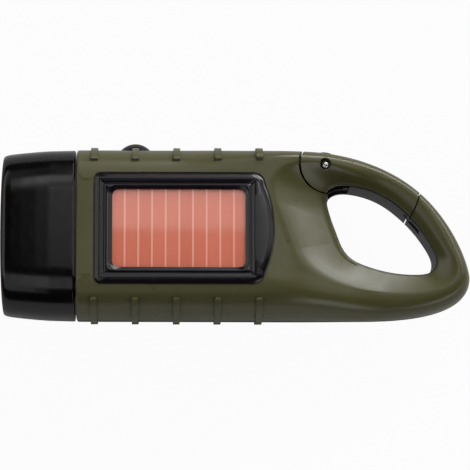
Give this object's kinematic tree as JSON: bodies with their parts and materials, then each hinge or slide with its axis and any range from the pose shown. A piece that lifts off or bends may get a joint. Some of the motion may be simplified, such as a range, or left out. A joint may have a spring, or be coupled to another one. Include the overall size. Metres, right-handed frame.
{
  "type": "hand crank flashlight",
  "caption": "Pocket flashlight charged by a folding crank and a solar panel, with a rectangular head, ribbed grips and a tail loop that a sprung gate closes.",
  "frame": {"origin": "on the crank's axis, on the flat outer face of the crank's cap, which the flashlight lies on", "axes": "+X towards the tail loop, +Y towards the side with the push button and the gate, +Z out of the front face with the solar panel"},
  "size_m": [0.1294, 0.0501, 0.0365],
  "materials": {
    "black_plastic": "fine satin texture",
    "clear_lens": "polished clear plastic",
    "mirror_coat": "vacuum-plated plastic",
    "lamp_epoxy": "clear epoxy",
    "circuit_board": "solder mask",
    "screw_steel": "bright",
    "olive_plastic": "moulded satin",
    "grey_plastic": "moulded satin",
    "frame_plastic": "moulded satin",
    "solar_cell": "clear-coated film",
    "plunger_plastic": "moulded",
    "cell_wrap": "shrink film",
    "bushing_brass": "machined",
    "gear_nylon": "moulded nylon",
    "magnet": "sintered",
    "stator_steel": "stamped sheet",
    "winding_copper": "enamelled wire",
    "wire_black": "insulation",
    "wire_red": "insulation"
  },
  "bodies": {
    "housing": {"head_bezel": "black_plastic", "front_lens": "clear_lens", "reflector": "mirror_coat", "led_1": "lamp_epoxy", "led_2": "lamp_epoxy", "led_3": "lamp_epoxy", "led_board": "circuit_board", "led_board_screw_1": "screw_steel", "led_board_screw_2": "screw_steel", "front_shell": "olive_plastic", "rear_shell": "grey_plastic", "shell_screw_1": "screw_steel", "shell_screw_2": "screw_steel", "shell_screw_3": "screw_steel", "shell_screw_4": "screw_steel", "shell_screw_5": "screw_steel", "shell_screw_6": "screw_steel", "solar_frame": "frame_plastic", "solar_panel": "solar_cell", "switch_body": "black_plastic", "main_board": "circuit_board", "board_screw_1": "screw_steel", "board_screw_2": "screw_steel", "battery": "cell_wrap", "crank_bushing": "bushing_brass", "idler_axle_1": "screw_steel", "idler_axle_2": "screw_steel", "stator_can": "stator_steel", "stator_coil": "winding_copper", "gear_plate": "stator_steel", "plate_screw_1": "screw_steel", "plate_screw_2": "screw_steel", "plate_screw_3": "screw_steel", "plate_screw_4": "screw_steel", "gate_pin": "screw_steel", "battery_lead_black": "wire_black", "battery_lead_red": "wire_red", "solar_lead_black": "wire_black", "solar_lead_red": "wire_red", "lamp_lead_black": "wire_black", "lamp_lead_red": "wire_red", "coil_lead_black": "wire_black", "coil_lead_red": "wire_red"},
    "crank": {"crank_arm": "black_plastic", "crank_cap": "grey_plastic", "crank_screw": "screw_steel", "crank_gear": "gear_nylon", "knob_pin": "screw_steel"},
    "knob": {"crank_knob": "grey_plastic"},
    "gate": {"gate_front": "olive_plastic", "gate_rear": "grey_plastic", "gate_screw": "screw_steel", "gate_spring": "screw_steel"},
    "button": {"power_button": "black_plastic", "switch_plunger": "plunger_plastic"},
    "idler_one": {"idler_1_gear": "gear_nylon"},
    "idler_two": {"idler_2_gear": "gear_nylon"},
    "rotor": {"rotor_pinion": "bushing_brass", "rotor_magnet": "magnet"}
  },
  "joints": [
    {"name": "crank_spin", "type": "hinge", "parent": "housing", "child": "crank", "pos_m": [0, 0, 0.0025], "axis": [0, 0, 1], "continuous": true},
    {"name": "knob_fold", "type": "hinge", "parent": "crank", "child": "knob", "pos_m": [0.044, 0, 0.0026], "axis": [0, -1, 0], "range_deg": [0, 90]},
    {"name": "gate_swing", "type": "hinge", "parent": "housing", "child": "gate", "pos_m": [0.04868, 0.01861, 0.0205], "axis": [0, 0, -1], "range_deg": [0, 25], "stiffness_Nm_per_rad": 0.02, "springref_deg": -20.05},
    {"name": "button_press", "type": "slide", "parent": "housing", "child": "button", "axis": [0, -1, 0], "range_m": [0, 0.0009], "stiffness_N_per_m": 1200, "springref_m": -0.0004},
    {"name": "idler_1_spin", "type": "hinge", "parent": "housing", "child": "idler_one", "pos_m": [0.01986, 0.00684, 0.0105], "axis": [0, 0, 1], "continuous": true},
    {"name": "idler_2_spin", "type": "hinge", "parent": "housing", "child": "idler_two", "pos_m": [0.01694, -0.00971, 0.0135], "axis": [0, 0, 1], "continuous": true},
    {"name": "rotor_spin", "type": "hinge", "parent": "housing", "child": "rotor", "pos_m": [0.03009, -0.00492, 0.0145], "axis": [0, 0, 1], "continuous": true}
  ],
  "couplings": [
    {"joint": "idler_1_spin", "follows": "crank_spin", "ratio": -4},
    {"joint": "idler_2_spin", "follows": "crank_spin", "ratio": 12},
    {"joint": "rotor_spin", "follows": "crank_spin", "ratio": -36}
  ]
}
